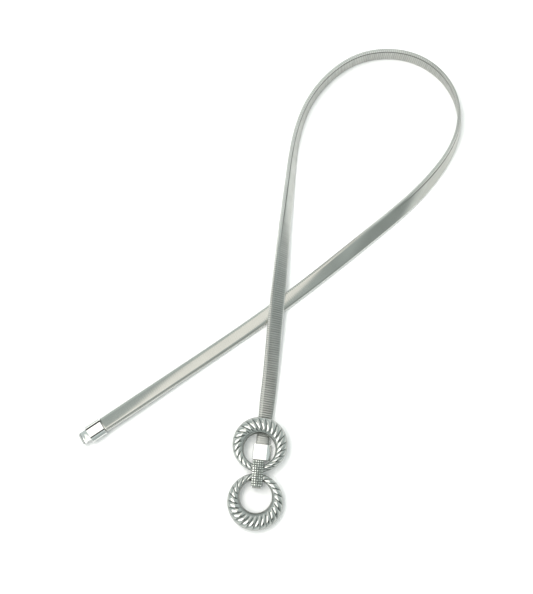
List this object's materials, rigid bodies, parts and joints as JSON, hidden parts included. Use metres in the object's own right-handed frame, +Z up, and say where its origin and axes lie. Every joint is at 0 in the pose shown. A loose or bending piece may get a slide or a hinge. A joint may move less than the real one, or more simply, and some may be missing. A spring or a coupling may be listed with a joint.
{
  "type": "metal belt",
  "caption": "Narrow metal stretch belt laid in a loop with a half twist, with a buckle of two rope-twist rings joined by a stone-set bridge and a hook on the free end.",
  "frame": {"origin": "on the surface the belt lies on, under the middle of its bounding box", "axes": "+Z up from the surface, +Y away from the viewer, from the buckle towards the top of the loop, +X to the viewer's right"},
  "size_m": [0.2626, 0.3483, 0.0105],
  "materials": {
    "coil_band": "silver-tone ribbed coil, satin smooth back",
    "rope_ring": "polished silver-tone cast metal with darker flutes",
    "stone_bridge": "silver-tone setting filled with clear cut stones",
    "polished_cap": "mirror polished silver-tone metal",
    "polished_hook": "mirror polished silver-tone metal"
  },
  "bodies": {
    "root": {"band": "coil_band", "upper_ring": "rope_ring", "lower_ring": "rope_ring", "bridge": "stone_bridge", "buckle_cap": "polished_cap", "tip_cap": "polished_cap", "tip_hook": "polished_hook"}
  },
  "joints": []
}
